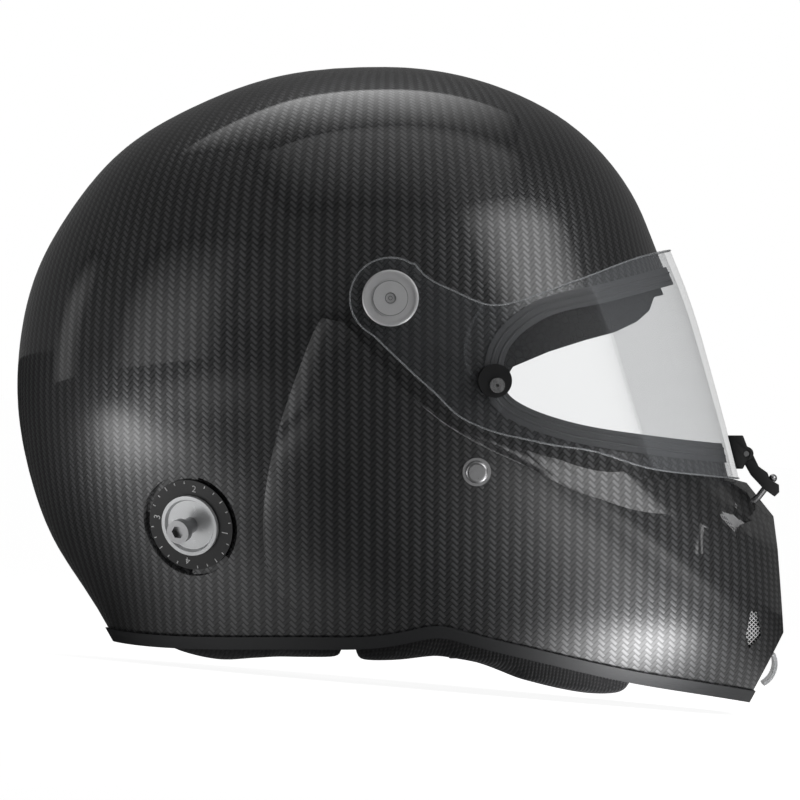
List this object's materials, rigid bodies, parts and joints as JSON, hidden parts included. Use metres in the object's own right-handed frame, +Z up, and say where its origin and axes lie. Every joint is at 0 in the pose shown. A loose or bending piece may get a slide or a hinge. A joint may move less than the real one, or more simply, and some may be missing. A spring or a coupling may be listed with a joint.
{
  "type": "auto racing helmet",
  "caption": "Full-face racing helmet with a lifting visor, front latch, tear-off posts, D-ring chin strap, padded lining and rear tether posts.",
  "frame": {"origin": "under the middle of the helmet, on the surface it stands on", "axes": "+X forward, +Y to the wearer's left, +Z up, with the helmet leaning back on its lower edge as it stands"},
  "size_m": [0.3572, 0.2656, 0.2734],
  "materials": {
    "carbon_shell": "twill carbon cloth under clear gloss lacquer",
    "visor_sheet": "clear moulded sheet with a hard coat",
    "bright_aluminium": "turned and polished",
    "steel": "plain steel",
    "anchor_steel": "turned steel",
    "latch_black": "matt black moulding",
    "bush_plastic": "matt black moulding",
    "post_black": "satin black moulding",
    "clear_lip": "clear moulding",
    "trim_rubber": "satin dark grey rubber",
    "gasket_rubber": "grey rubber with a fine rib",
    "liner_foam": null,
    "pad_fabric": "black knitted fabric over foam",
    "webbing": "black woven webbing",
    "label_black": "black printed ring with plain ticks",
    "vent_mesh": "black wire mesh"
  },
  "bodies": {
    "helmet": {"outer_shell": "carbon_shell", "latch_stud": "steel", "chin_deflector": "clear_lip", "rim_trim": "trim_rubber", "eyeport_gasket": "gasket_rubber", "crown_liner": "liner_foam", "comfort_liner": "pad_fabric", "brow_pad": "pad_fabric", "neck_roll": "pad_fabric", "chin_liner": "liner_foam", "pivot_bush_right": "bush_plastic", "pivot_cap_right": "bright_aluminium", "pivot_nut_right": "steel", "strap_rivet_right": "steel", "strap_hanger_right": "steel", "chin_strap_right": "webbing", "anchor_ring_right": "label_black", "anchor_dish_right": "bright_aluminium", "anchor_post_right": "anchor_steel", "anchor_nut_right": "steel", "cheek_pad_right": "pad_fabric", "upper_vent_mesh_right": "vent_mesh", "lower_vent_mesh_right": "vent_mesh", "pivot_bush_left": "bush_plastic", "pivot_cap_left": "bright_aluminium", "pivot_nut_left": "steel", "strap_rivet_left": "steel", "strap_hanger_left": "steel", "chin_strap_left": "webbing", "anchor_ring_left": "label_black", "anchor_dish_left": "bright_aluminium", "anchor_post_left": "anchor_steel", "anchor_nut_left": "steel", "cheek_pad_left": "pad_fabric", "upper_vent_mesh_left": "vent_mesh", "lower_vent_mesh_left": "vent_mesh"},
    "visor": {"visor": "visor_sheet", "tear_off_screw_right": "steel", "tear_off_screw_left": "steel", "latch_bracket": "latch_black", "latch_pin": "steel"},
    "latch": {"latch_lever": "latch_black"},
    "tear_off_right": {"tear_off_post_right": "post_black"},
    "tear_off_left": {"tear_off_post_left": "post_black"},
    "d_ring_upper": {"d_ring_upper": "steel"},
    "d_ring_lower": {"d_ring_lower": "steel"}
  },
  "joints": [
    {"name": "visor_lift", "type": "hinge", "parent": "helmet", "child": "visor", "pos_m": [-0.01234, 0, 0.16751], "axis": [0, -1, 0], "range_deg": [0, 55]},
    {"name": "latch_swing", "type": "hinge", "parent": "visor", "child": "latch", "pos_m": [0.15502, 0, 0.11202], "axis": [0, -1, 0], "range_deg": [0, 40]},
    {"name": "tear_off_turn_right", "type": "hinge", "parent": "visor", "child": "tear_off_right", "pos_m": [0.0379, -0.12611, 0.13277], "axis": [0.1519, -0.9884, 0.0076], "range_deg": [-90, 90]},
    {"name": "tear_off_turn_left", "type": "hinge", "parent": "visor", "child": "tear_off_left", "pos_m": [0.0379, 0.12611, 0.13277], "axis": [0.1519, 0.9884, 0.0076], "range_deg": [-90, 90]},
    {"name": "d_ring_upper_swing", "type": "hinge", "parent": "helmet", "child": "d_ring_upper", "pos_m": [0.03985, 0.04605, 0.01597], "axis": [-0.9961, 0, -0.0881], "range_deg": [0, 50]},
    {"name": "d_ring_lower_swing", "type": "hinge", "parent": "helmet", "child": "d_ring_lower", "pos_m": [0.04025, 0.04605, 0.01139], "axis": [0.9961, 0, 0.0881], "range_deg": [0, 15]}
  ]
}
